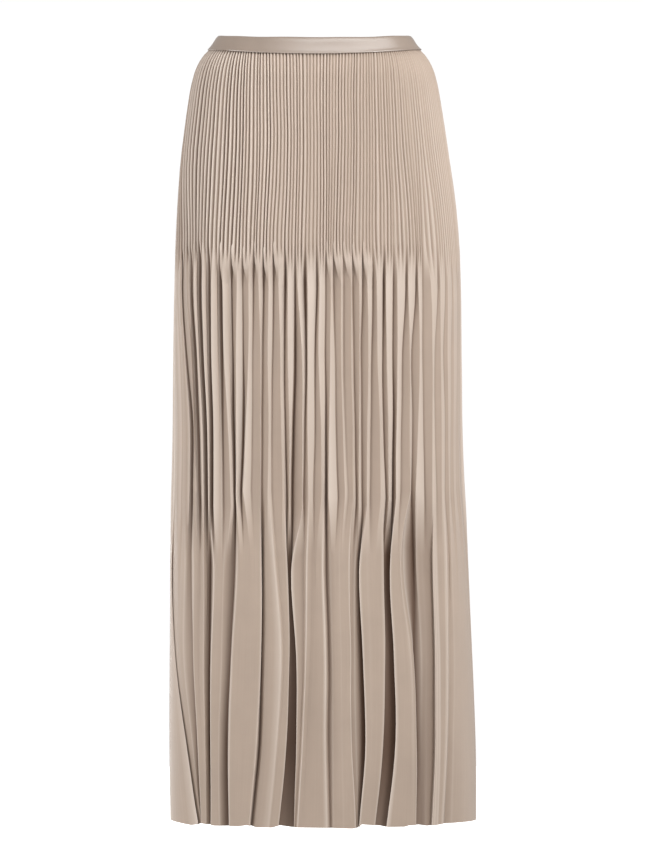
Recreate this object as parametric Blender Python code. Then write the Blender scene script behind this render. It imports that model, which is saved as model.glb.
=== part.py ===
"""Pleated knit maxi skirt, filled out and held up at the wearer's waist.

Metres, +Z up, the front faces -Y. The origin is the middle of the waist, level with the band's
top edge at the side seams. The skirt hangs down -Z as an empty hollow, open at waist and hem.

The jersey is pleated in three stages, one above the other. Fine pleats run from the band over
the hips, three of them gather into each medium pleat, and one to four medium pleats open into
each wide flat fold that runs to the hem. A panel is one wall, made of rows of points that run
from its left side seam over its middle to its right side seam. Depths below the waist are
positive numbers. Each panel is worked out as the front one, and the back one is turned round.
"""

from math import cos, pi, sin, sqrt

import bmesh
import bpy
import numpy as np

# Driving sizes
SEAM_GAP = 0.0003  # left open between pieces that are sewn together
WALL = 0.0014  # thickness of the jersey
HEM_DEPTH = 0.9420
OVAL_POWER = 2.15  # 2 is an ellipse, more is squarer
OVAL_STEPS = 240  # steps along half an oval when its length is measured

# Waistband
BAND_HEIGHT_SIDE = 0.0155
BAND_HEIGHT_FRONT = 0.0192
BAND_HEIGHT_BACK = 0.0175
WAIST_DIP_FRONT = 0.0050  # how far the top edge dips from the sides to centre front
WAIST_DIP_BACK = -0.0030
DIP_ENDS_AT = 0.1300  # depth at which a panel's rows are level
BAND_COLUMNS = 72

# Pleats of one panel
MEDIUM_PLEATS = 33
FINE_PER_MEDIUM = 3
POINTS_PER_FINE = 2
POINTS_PER_MEDIUM = 3
MEDIUM_COLUMNS = MEDIUM_PLEATS * POINTS_PER_MEDIUM
FINE_COLUMNS = MEDIUM_PLEATS * FINE_PER_MEDIUM * POINTS_PER_FINE
CROWDING = 0.11  # share by which pleats lie closer at a panel's middle, and wider at its seams
SKEW = 0.06  # share by which they lie wider in its left half, and closer in its right half
FINE_RELIEF = 0.0015  # valleys below the crests
MEDIUM_RELIEF = 0.0050
SEAM_RELIEF = 0.0030  # each side seam lies in a shallow valley
SEAM_VALLEY_WIDTH = 0.0060
FACE_HOLLOW = 0.0022  # middle of a wide fold's face below its edges
HEM_STEP = 0.0014  # every second wide fold ends this much higher at the hem
MITRE_LIMIT = 2.2

JERSEY_COLOUR = (0.47, 0.38, 0.31, 1.0)
JERSEY_ROUGHNESS = 0.62
SATIN_COLOUR = (0.58, 0.48, 0.41, 1.0)
SATIN_ROUGHNESS = 0.38

# Depth, half width, half depth over half width, place of the oval's middle along X
OUTLINE = (
    (0.000, 0.1158, 0.690, 0.0000),
    (0.009, 0.1206, 0.685, 0.0000),
    (0.019, 0.1302, 0.680, 0.0000),
    (0.028, 0.1368, 0.675, 0.0000),
    (0.040, 0.1428, 0.670, 0.0000),
    (0.052, 0.1464, 0.660, 0.0000),
    (0.076, 0.1512, 0.650, 0.0000),
    (0.100, 0.1548, 0.645, 0.0003),
    (0.148, 0.1614, 0.635, 0.0008),
    (0.196, 0.1668, 0.625, 0.0024),
    (0.270, 0.1716, 0.620, 0.0036),
    (0.388, 0.1740, 0.610, 0.0036),
    (0.484, 0.1752, 0.610, 0.0038),
    (0.556, 0.1776, 0.610, 0.0046),
    (0.676, 0.1812, 0.610, 0.0068),
    (0.772, 0.1838, 0.610, 0.0086),
    (0.868, 0.1854, 0.610, 0.0102),
    (0.942, 0.1848, 0.610, 0.0108),
)

# Band's section, once round: share of its height above the seam, distance outside the oval
BAND_SECTION = (
    (0.00, 0.0000),
    (0.12, 0.0009),
    (0.50, 0.0012),
    (0.86, 0.0009),
    (0.97, 0.0001),
    (1.00, -0.0012),
    (0.95, -0.0026),
    (0.50, -0.0030),
    (0.00, -0.0030),
)

# Depths of a panel's rows. The first fine row is the seam under the band.
FINE_ROWS = (BAND_HEIGHT_SIDE + SEAM_GAP, 0.045, 0.080, 0.130, 0.195, 0.262)
MEDIUM_ROWS = (0.282, 0.360, 0.450, 0.540)
WIDE_ROWS = (0.610, 0.690, 0.770, 0.860, HEM_DEPTH)
GAPS_AT = 0.742  # depth that the first places and widths of the gaps below belong to

# Gaps between a panel's wide folds, seen from outside: medium pleats to the left of the gap,
# its place along X from the waist's middle at GAPS_AT and at the hem, its depth, and its width
# at GAPS_AT and at the hem
FRONT_GAPS = (
    (2, -0.1690, -0.1620, 0.0060, 0.0050, 0.0060),
    (4, -0.1458, -0.1362, 0.0080, 0.0060, 0.0070),
    (6, -0.1236, -0.1200, 0.0080, 0.0050, 0.0050),
    (8, -0.1014, -0.1000, 0.0070, 0.0060, 0.0060),
    (11, -0.0618, -0.0750, 0.0090, 0.0050, 0.0060),
    (13, -0.0258, -0.0348, 0.0120, 0.0080, 0.0170),
    (17, 0.0174, 0.0191, 0.0070, 0.0050, 0.0050),
    (20, 0.0570, 0.0510, 0.0090, 0.0070, 0.0050),
    (23, 0.0894, 0.0786, 0.0120, 0.0100, 0.0130),
    (25, 0.1194, 0.1218, 0.0080, 0.0050, 0.0060),
    (27, 0.1440, 0.1430, 0.0050, 0.0050, 0.0060),
    (29, 0.1620, 0.1600, 0.0070, 0.0060, 0.0060),
    (31, 0.1780, 0.1770, 0.0060, 0.0050, 0.0050),
)
BACK_GAPS = (
    (3, -0.1780, -0.1760, 0.0070, 0.0060, 0.0060),
    (5, -0.1560, -0.1580, 0.0080, 0.0050, 0.0060),
    (8, -0.1180, -0.1260, 0.0100, 0.0070, 0.0110),
    (10, -0.0890, -0.0880, 0.0070, 0.0050, 0.0060),
    (13, -0.0440, -0.0370, 0.0120, 0.0080, 0.0130),
    (15, -0.0160, -0.0120, 0.0070, 0.0050, 0.0050),
    (18, 0.0190, 0.0230, 0.0080, 0.0060, 0.0060),
    (21, 0.0600, 0.0540, 0.0110, 0.0080, 0.0150),
    (23, 0.0850, 0.0860, 0.0070, 0.0050, 0.0060),
    (26, 0.1210, 0.1180, 0.0090, 0.0070, 0.0080),
    (28, 0.1430, 0.1410, 0.0080, 0.0060, 0.0060),
    (30, 0.1610, 0.1610, 0.0070, 0.0050, 0.0050),
)


def outline_at(depth):
    """Half width, half depth and middle of the oval at a depth."""
    depths, half_widths, ratios, middles = np.array(OUTLINE).T
    half_width = np.interp(depth, depths, half_widths)
    half_depth = half_width * np.interp(depth, depths, ratios)
    return half_width, half_depth, np.interp(depth, depths, middles)


def oval_point(half_width, half_depth, angle):
    """A point of an oval: angle 0 is -X, a quarter turn is -Y and half a turn is +X."""
    across = abs(cos(angle)) ** (2 / OVAL_POWER) * (-1 if cos(angle) > 0 else 1)
    along = abs(sin(angle)) ** (2 / OVAL_POWER) * (-1 if sin(angle) > 0 else 1)
    return half_width * across, half_depth * along


def half_oval(half_width, half_depth):
    """Points from -X over -Y to +X, and their distances along the oval."""
    angles = np.linspace(0, pi, OVAL_STEPS + 1)
    points = np.array([oval_point(half_width, half_depth, angle) for angle in angles])
    steps = np.hypot(*np.diff(points, axis=0).T)
    return points, np.concatenate([[0], np.cumsum(steps)])


def mitred_normals(points):
    """Outward directions along an open line, longer at its corners, so that a wall moved along
    them keeps its thickness."""
    steps = np.diff(points, axis=0)
    steps /= np.hypot(*steps.T)[:, None]
    sides = np.column_stack([steps[:, 1], -steps[:, 0]])
    normals = np.empty_like(points)
    normals[0] = (-1, 0)
    normals[-1] = (1, 0)
    for at in range(1, len(points) - 1):
        middle = sides[at - 1] + sides[at]
        middle /= sqrt(middle @ middle)
        normals[at] = middle / max(middle @ sides[at], 1 / MITRE_LIMIT)
    return normals


def waist_drop(frontness, dip, height):
    """How far the seam under the band lies below its place at the side seams. The frontness of
    a point is 0 at a side seam and 1 at the middle of its panel."""
    return frontness**2 * (dip + height - BAND_HEIGHT_SIDE)


def pleat_places(columns):
    """Where the columns of pleats lie, from 0 to 1 along a panel."""
    shares = np.linspace(0, 1, columns + 1)
    crowded = CROWDING * np.sin(2 * pi * shares) / (2 * pi)
    return shares + crowded + SKEW * np.sin(pi * shares) ** 2 / pi


def fine_row(length):
    """Places along a row and depths of its points below the crests: crest and valley in turn."""
    relief = np.zeros(FINE_COLUMNS + 1)
    relief[::POINTS_PER_FINE] = FINE_RELIEF
    return pleat_places(FINE_COLUMNS) * length, relief


def medium_row(length):
    """The same for medium pleats, which are flattened tubes: one point in the valley, the others
    on the crest."""
    relief = np.zeros(MEDIUM_COLUMNS + 1)
    relief[::POINTS_PER_MEDIUM] = MEDIUM_RELIEF
    relief[0] = relief[-1] = SEAM_RELIEF
    return pleat_places(MEDIUM_COLUMNS) * length, relief


def wide_row(depth, gaps, facing, points, lengths):
    """The same for wide folds. Each gap starts at the valley of a medium pleat and moves to its
    own place, and the points between two gaps lie on a face that is a little hollow."""
    middle = outline_at(depth)[2] * facing
    opened = min(1, (depth - MEDIUM_ROWS[-1]) / (GAPS_AT - MEDIUM_ROWS[-1]))
    below = max(0, (depth - GAPS_AT) / (HEM_DEPTH - GAPS_AT))
    starts = pleat_places(MEDIUM_PLEATS) * lengths[-1]
    valleys = [(0, 0, SEAM_RELIEF, SEAM_VALLEY_WIDTH)]
    for pleats, upper_x, hem_x, relief, upper_width, hem_width in gaps:
        x = upper_x + (hem_x - upper_x) * below - middle
        place = np.interp(x, points[:, 0], lengths)
        place = starts[pleats] + (place - starts[pleats]) * opened
        relief = MEDIUM_RELIEF + (relief - MEDIUM_RELIEF) * opened
        width = upper_width + (hem_width - upper_width) * below
        valleys.append((pleats * POINTS_PER_MEDIUM, place, relief, width))
    valleys.append((MEDIUM_COLUMNS, lengths[-1], SEAM_RELIEF, SEAM_VALLEY_WIDTH))
    places = np.zeros(MEDIUM_COLUMNS + 1)
    reliefs = np.zeros(MEDIUM_COLUMNS + 1)
    for left, right in zip(valleys, valleys[1:]):
        face = slice(left[0] + 1, right[0])
        count = right[0] - left[0] - 1
        places[face] = np.linspace(left[1] + left[3] / 2, right[1] - right[3] / 2, count)
        reliefs[face] = FACE_HOLLOW * np.sin(np.linspace(0, pi, count))
    for column, place, relief, _ in valleys:
        places[column] = place
        reliefs[column] = relief
    return places, reliefs


def hem_steps(gaps):
    """How much higher than the hem each column ends: every second wide fold is a little short."""
    steps = np.zeros(MEDIUM_COLUMNS + 1)
    ends = [0] + [gap[0] * POINTS_PER_MEDIUM for gap in gaps] + [MEDIUM_COLUMNS]
    for left, right in zip(ends[1::2], ends[2::2]):
        steps[left + 1:right] = HEM_STEP
    return steps


def panel_rows(gaps, facing, dip, height):
    """Outer and inner rows of points of a panel. The facing is 1 for the front, -1 for the back."""
    outer = []
    inner = []
    for depth in FINE_ROWS + MEDIUM_ROWS + WIDE_ROWS:
        half_width, half_depth, middle = outline_at(depth)
        points, lengths = half_oval(half_width, half_depth)
        fine = depth in FINE_ROWS
        if fine:
            places, reliefs = fine_row(lengths[-1])
        elif depth in MEDIUM_ROWS:
            places, reliefs = medium_row(lengths[-1])
        else:
            places, reliefs = wide_row(depth, gaps, facing, points, lengths)
        crests = np.column_stack([np.interp(places, lengths, points[:, axis]) for axis in (0, 1)])
        heights = -depth - np.array([
            waist_drop(y / half_depth, dip, height) * max(0, 1 - (depth - FINE_ROWS[0]) / DIP_ENDS_AT)
            for y in crests[:, 1]
        ])
        if depth == HEM_DEPTH:
            heights += hem_steps(gaps)
        front = crests - mitred_normals(crests) * reliefs[:, None]
        if fine:
            every = slice(None, None, POINTS_PER_FINE)
            back = crests[every] - mitred_normals(crests[every]) * (FINE_RELIEF + WALL)
            back_heights = heights[every]
        else:
            back = front - mitred_normals(front) * WALL
            back_heights = heights
        for line, levels, rows in ((front, heights, outer), (back, back_heights, inner)):
            line[[0, -1], 1] = -SEAM_GAP / 2
            line[:, 0] += middle * facing
            rows.append(np.column_stack([line * facing, levels]))
    return outer, inner


def bridge(mesh, first, second):
    """Faces between two rows of vertices, one of which may have two columns to the other's one."""
    if len(first) < len(second):
        first, second = second, first
    if len(first) == len(second):
        for at in range(len(first) - 1):
            mesh.faces.new((first[at], first[at + 1], second[at + 1]))
            mesh.faces.new((first[at], second[at + 1], second[at]))
        return
    for at in range(len(second) - 1):
        left, centre, right = first[2 * at:2 * at + 3]
        mesh.faces.new((left, centre, second[at]))
        mesh.faces.new((centre, second[at + 1], second[at]))
        mesh.faces.new((centre, right, second[at + 1]))


def add_object(name, mesh, material):
    """Closes the mesh's normals outwards and puts it in the scene as one object."""
    bmesh.ops.recalc_face_normals(mesh, faces=mesh.faces)
    data = bpy.data.meshes.new(name)
    mesh.to_mesh(data)
    mesh.free()
    data.materials.append(material)
    data.shade_smooth()
    part = bpy.data.objects.new(name, data)
    bpy.context.collection.objects.link(part)


def build_panel(name, gaps, facing, dip, height, material):
    mesh = bmesh.new()
    sides = []
    for rows in panel_rows(gaps, facing, dip, height):
        sides.append([[mesh.verts.new(point) for point in row] for row in rows])
        for upper, lower in zip(sides[-1], sides[-1][1:]):
            bridge(mesh, upper, lower)
    outer, inner = sides
    for end in (0, -1):
        bridge(mesh, outer[end], inner[end])
        bridge(mesh, [row[end] for row in outer], [row[end] for row in inner])
    add_object(name, mesh, material)


def build_waistband(material):
    mesh = bmesh.new()
    columns = []
    for column in range(BAND_COLUMNS):
        angle = 2 * pi * column / BAND_COLUMNS
        front = angle < pi
        dip = WAIST_DIP_FRONT if front else WAIST_DIP_BACK
        height = BAND_HEIGHT_FRONT if front else BAND_HEIGHT_BACK
        points = []
        for share, out in BAND_SECTION:
            half_width, half_depth, _ = outline_at(BAND_HEIGHT_SIDE * (1 - share))
            x, y = oval_point(half_width, half_depth, angle)
            frontness = abs(y) / half_depth
            top = -dip * frontness**2
            seam = -BAND_HEIGHT_SIDE - waist_drop(frontness, dip, height)
            normal = np.array([x / half_width**2, y / half_depth**2])
            normal /= sqrt(normal @ normal)
            points.append((x + normal[0] * out, y + normal[1] * out, seam + (top - seam) * share))
        columns.append([mesh.verts.new(point) for point in points])
    for column, vertices in enumerate(columns):
        following = columns[(column + 1) % BAND_COLUMNS]
        bridge(mesh, vertices + vertices[:1], following + following[:1])
    add_object("waistband", mesh, material)


def make_material(name, colour, roughness):
    material = bpy.data.materials.new(name)
    material.use_nodes = True
    shader = material.node_tree.nodes["Principled BSDF"]
    shader.inputs["Base Color"].default_value = colour
    shader.inputs["Roughness"].default_value = roughness
    shader.inputs["Metallic"].default_value = 0
    return material


def main():
    for thing in list(bpy.data.objects):
        bpy.data.objects.remove(thing, do_unlink=True)
    jersey = make_material("jersey", JERSEY_COLOUR, JERSEY_ROUGHNESS)
    satin = make_material("satin", SATIN_COLOUR, SATIN_ROUGHNESS)
    build_waistband(satin)
    build_panel("front_panel", FRONT_GAPS, 1, WAIST_DIP_FRONT, BAND_HEIGHT_FRONT, jersey)
    build_panel("back_panel", BACK_GAPS, -1, WAIST_DIP_BACK, BAND_HEIGHT_BACK, jersey)


main()
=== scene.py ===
"""Dressed model of the pleated knit maxi skirt: two pleated jersey panels and a satin waistband,
hung open as if on a wearer, with a pale studio round them.

Metres, +Z up, the front faces -Y. The origin is the middle of the waist. Depths below the waist
are positive numbers. A panel is worked out as the front one, seen from outside, from its left
side seam over its middle to its right side seam. The back one is then turned half round.
"""

from math import atan2, cos, pi, radians, sin

import bpy
import numpy as np
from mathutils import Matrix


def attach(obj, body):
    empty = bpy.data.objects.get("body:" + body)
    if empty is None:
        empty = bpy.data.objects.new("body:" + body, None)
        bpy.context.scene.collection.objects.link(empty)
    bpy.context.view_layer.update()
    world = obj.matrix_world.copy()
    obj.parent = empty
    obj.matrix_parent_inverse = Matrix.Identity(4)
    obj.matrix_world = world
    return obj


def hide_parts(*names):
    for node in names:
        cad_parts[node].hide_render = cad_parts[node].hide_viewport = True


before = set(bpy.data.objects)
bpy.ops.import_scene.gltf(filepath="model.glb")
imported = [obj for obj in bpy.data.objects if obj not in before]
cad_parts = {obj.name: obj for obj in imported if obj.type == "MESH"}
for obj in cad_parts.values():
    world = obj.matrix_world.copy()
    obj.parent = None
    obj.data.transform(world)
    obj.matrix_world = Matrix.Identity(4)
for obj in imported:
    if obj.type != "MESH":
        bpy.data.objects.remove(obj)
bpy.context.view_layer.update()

bl_info = {
    "name": "Pleated Knit Maxi Skirt",
    "version": (1, 0, 0),
    "blender": (4, 5, 0),
    "location": "3D View > Sidebar > Skirt",
    "description": "Builds a maxi skirt of pleated jersey with a satin waistband",
    "category": "Add Mesh",
}

# The body's outline, as in the part's source: depth, half width, half depth over half width,
# place of the oval's middle along X
OUTLINE = np.array([
    (0.000, 0.1158, 0.690, 0.0000),
    (0.009, 0.1206, 0.685, 0.0000),
    (0.019, 0.1302, 0.680, 0.0000),
    (0.028, 0.1368, 0.675, 0.0000),
    (0.040, 0.1428, 0.670, 0.0000),
    (0.052, 0.1464, 0.660, 0.0000),
    (0.076, 0.1512, 0.650, 0.0000),
    (0.100, 0.1548, 0.645, 0.0003),
    (0.148, 0.1614, 0.635, 0.0008),
    (0.196, 0.1668, 0.625, 0.0024),
    (0.270, 0.1716, 0.620, 0.0036),
    (0.388, 0.1740, 0.610, 0.0036),
    (0.484, 0.1752, 0.610, 0.0038),
    (0.556, 0.1776, 0.610, 0.0046),
    (0.676, 0.1812, 0.610, 0.0068),
    (0.772, 0.1838, 0.610, 0.0086),
    (0.868, 0.1854, 0.610, 0.0102),
    (0.942, 0.1848, 0.610, 0.0108),
])
OVAL_POWER = 2.15
OVAL_STEPS = 480

BAND_HEIGHT_SIDE = 0.0155
BAND_HEIGHT = {1: 0.0192, -1: 0.0175}  # at the middle of the front and of the back
WAIST_DIP = {1: 0.0050, -1: -0.0030}
DIP_ENDS_AT = 0.130

# Pleats of a panel
PLEATS = 33  # medium ones
FINE_PER_PLEAT = 3
PLEAT_COLUMNS = 18  # columns of points in a medium pleat
COLUMNS = PLEATS * PLEAT_COLUMNS
ALL_COLUMNS = np.arange(COLUMNS + 1)
PLEAT_ENDS = np.arange(PLEATS + 1)
CREST_COLUMNS = (4, 14)  # its crest lies on a column between these
CROWDING = 0.11  # share by which pleats lie closer at a panel's middle
SKEW = 0.06  # share by which they lie wider in its left half
PANEL_CUT = (0.68, 0.928)  # flat size of a panel's jersey, its pleats opened out
FINE_TOP = 0.0140  # the cloth's edge, tucked into the band
FINE_END = 0.251  # depth at which the fine pleats start to gather into medium ones
MEDIUM_DEPTHS = (0.301, 0.376, 0.460, 0.553)
WIDE_DEPTHS = (0.620, 0.742, 0.850, 0.9395)
SEAM_ALLOWANCE = 0.007  # the panel's edge is turned in this far at a side seam
SEAM_SINK = 0.0015
CREST_SINK = 0.0003
SEAM_LINE = -0.00006  # where the panels' edges lie along Y, so that they don't touch
FACET_SINKS = (0.0064, 0.0054, 0.0050, 0.0048)  # how far its facets go in at the medium depths
TUBES_END = -105  # pleats of the front left of this place along X, in mm, are rounded tubes
CREASE_WIDTH = 0.0016  # width of the tight crease at the foot of a valley
EDGE_WIDTH = 0.0005  # width of a crest's pressed edge
FULL_SHADE = (0.0037, 0.0070)  # sink at which the painted shade of a fine and of a wide valley is darkest
SHADE_POWER = (2.2, 1.8)  # how late the painted shade of a fine and of a wide valley deepens on the way in
WIDE_SHADES = (1.0, 1.0, 1.0, 0.70)  # how dark a wide valley's painted shade gets at the wide depths
TOP_DEPTHS = (FINE_TOP, 0.024, 0.038, 0.060, 0.090)  # depths where the pleats hang off the band
TOP_SHIFT = 0.075  # how far the pleats lie nearer the sides at the band, of the half width
SPREAD_FROM, SPREAD_TO = 0.0234, 0.123  # depths between which they spread with the hips
BAND_EDGE = 0.0158  # depth of the band's lower edge at the sides
PINCH = 0.0009  # how far the cloth is drawn in at the band
PINCH_TO = FINE_TOP + 0.002  # depth below which this fades
PINCH_FADES = 0.003
# depth above which the fine valleys under the band get extra painted shade
PINCH_SHADED_TO = 0.03
SOFTENING = (0.22, 0.08)  # how much the corners of fine and of wider pleats are rounded
CREASE_ANGLE = 62  # sharper creases keep a sharp edge, in degrees
USUAL_RELIEF = 0.0026  # fine pleats of this depth have the usual painted highlight on their edges
EDGE_RISE = 0.0014  # the painted highlight on an edge is lightest where it stands out from its neighbours this far
FULL_STRENGTH = 0.0065  # medium valleys of this depth have their full painted shade and painted highlight
DEEP_VALLEY = 0.006  # deeper ones have a wider crease at their foot
CLEAR_SINK = 0.0025  # medium valleys that lie in this far open as wedges
WEDGE_START = 0.0011  # width of such a wedge where it begins
HEM_FROM, HEM_RUN = 0.87, 0.07  # the hem's steps grow from this depth on, over this height

# Depths round which pleats wander up and down, with how far that reaches: where the fine pleats
# gather, and where the wide folds start. Then how far they wander in these two places
GATHERS_NEAR = (0.268, 0.03)
FOLDS_NEAR = (0.575, 0.06)
UP_AND_DOWN = (0.003, 0.009)

FINE_DEPTHS = (0.75, 1.2)  # shares of the set depth that fine valleys have
FINE_WANDER = 0.0009  # how far they lie off their even places, as a share of the way
BACK_DEPTHS = (0.7, 1.15)  # shares of the front's depths that the back's folds have
BACK_HEM = (-0.002, 0.0012)  # how far the back's hem is from its depth, and its unevenness

# Where the medium creases that are left over on a wide fold come and go: depth and height
LEFT_OVER_FROM = (0.53, 0.05)
LEFT_OVER_TO = (0.60, 0.10)

# Painted shade on the front's cloth at its left seam, in the flanks of the fine pleats and all
# over: how much, up to which share of the way, and the share over which it fades
PAINTED_FLANK_SHADE = (1.5, 0.10, 0.08)
PAINTED_SEAM_SHADE = (0.36, 0.05, 0.07)

# Slow waves of the pleats: radians for each metre down, of the shares' two waves, of the sinks'
# one and of the back's own one
WAVE_RATES = (34, 71, 23, 9)

CAMERA_X = 0.0108
CAMERA_Z = -0.474
CAMERA_DISTANCE = 8.7
VIEW_HEIGHT = 1.0356

# Relief of the front's fine pleats: it is crisp on the left and flatter on the right
FINE_CONTRAST = ((0.0, 0.03, 0.11, 0.17, 0.25, 0.40, 0.58, 0.75, 1.0),
                 (1.0, 2.00, 2.30, 1.50, 1.25, 1.00, 0.85, 0.85, 0.80))
BACK_CONTRAST = ((0, 1), (0.9, 0.9))
BACK_STRAIGHT = 0.85  # how much the back's first pleats keep to their even places

# The front's hem: places along X and how much lower it hangs there, in mm
FRONT_HEM = ((-172, -158, -145, -137, -120, -90, -80, -70, -50, -42, -28, 20, 45, 52, 56, 80, 87,
              108, 112, 127, 135, 145, 155, 172, 190),
             (0, 2.0, 3.6, 0.5, 3.0, 3.0, 1.5, 4.0, 4.0, 1.5, 3.6, 4.3, 5.0, 4.0, 0, 2.0, 3.5,
              3.5, 2.0, 1.5, 3.0, 2.5, 1.0, 0.5, 0.0))

# Where the front's first medium pleats start under the band, as shares of the way round
FIRST_PLACES = ((0, 3, 4, 5, 6, 7), (0.0, 0.038, 0.095, 0.148, 0.191, 0.2345))
SINGLE_PLEATS = (0, 1, 2)  # the front's medium pleats that come from one fine one each

# How much higher up the front's fine pleats gather at the left: pleats and metres
FIRST_EARLIER = ((0, 2, 5, 6.5, 8, 33), (0.0, 0.014, 0.014, 0.008, 0.0, 0.0))

# Shape of one fine pleat from valley to valley: share of its relief
FINE_SHAPE = ((0, 1 / 6, 1 / 3, 1 / 2, 2 / 3, 5 / 6, 1), (1.0, 0.60, 0.12, 0.0, 0.12, 0.60, 1.0))

# Medium pleats of the front: the valley at their left and their crest, along X in mm at the
# four medium depths, and the valley's depth in mm there
FRONT_PLEATS = (
    ((-167, -167, -166, -167), (-166, -166, -164, -165), (0.6, 0.6, 0.6, 0.6)),
    ((-164, -161, -158, -159), (-161, -158, -154, -154), (1, 1, 1, 1)),
    ((-158, -154, -147, -147), (-153, -148, -145, -145), (5, 5, 8, 8)),
    ((-147, -143, -140, -137), (-145, -141, -137, -134), (7, 8, 8, 8)),
    ((-137, -135, -131, -129), (-135, -133, -129, -127), (8, 8, 9, 8)),
    ((-126, -125, -123, -123), (-124, -124, -121, -121), (7, 8, 8, 8)),
    ((-112, -111, -110, -109), (-110, -109, -104, -100), (8, 8, 6, 4)),
    ((-99, -98, -97, -95), (-93, -94, -94, -94), (6, 6, 8, 8)),
    ((-86, -85, -85, -88), (-79, -79, -82, -86), (4, 5, 8, 7)),
    ((-73, -74, -74, -76), (-67, -65, -65, -65), (5, 3.2, 3, 2.5)),
    ((-61, -62, -63, -63), (-55, -56, -55, -56), (6, 4, 4, 4)),
    ((-49, -50, -51, -51), (-43, -41, -40, -38), (5, 4, 3, 2.5)),
    ((-35, -36, -35, -33), (-32, -32, -30, -30), (7, 5, 5, 6)),
    ((-23, -23, -25, -27), (-20, -15, -14, -14), (6, 8, 8, 8)),
    ((-11, -10, -11, -13), (-8, -8, -8, -7), (8, 6, 4.5, 4)),
    ((3, 1, 1, -1), (6, 5, 8, 9), (6, 5, 4, 3)),
    ((14, 13, 14, 14), (20, 19, 18, 17), (4, 4, 6, 8)),
    ((23, 25, 26, 29), (32, 32, 34, 37), (4, 3, 3.5, 4)),
    ((35, 35, 37, 41), (44, 44, 46, 46), (3, 3, 2, 1.5)),
    ((46, 47, 49, 50), (54, 54, 54, 53), (4, 3.5, 4, 5)),
    ((58, 56, 57, 57), (64, 65, 64, 63), (5, 4, 4, 5)),
    ((70, 69, 68, 67), (75, 76, 79, 80), (5, 4, 3.5, 3)),
    ((83, 82, 83, 86), (86, 87, 89, 89), (7, 5, 5, 5)),
    ((95, 94, 95, 94), (100, 100, 99, 98), (5, 5, 7, 8)),
    ((110, 106, 105, 104), (113, 115, 115, 116), (5, 4, 3, 3)),
    ((122, 117, 118, 117), (125, 127, 125, 122), (5, 4, 4, 5)),
    ((130, 130, 131, 133), (140, 142, 142, 142), (3, 3, 3, 4)),
    ((148, 145, 145, 147), (151, 152, 153, 153), (3, 2, 2, 2)),
    ((157, 155, 157, 157), (160, 160, 161, 162), (2, 2, 2, 2)),
    ((165, 164, 164, 164), (167, 167, 167, 168), (1.5, 1.2, 1, 1)),
    ((171, 171, 170, 171), (173, 173, 173, 175), (1, 0.8, 0.8, 0.8)),
)

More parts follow.
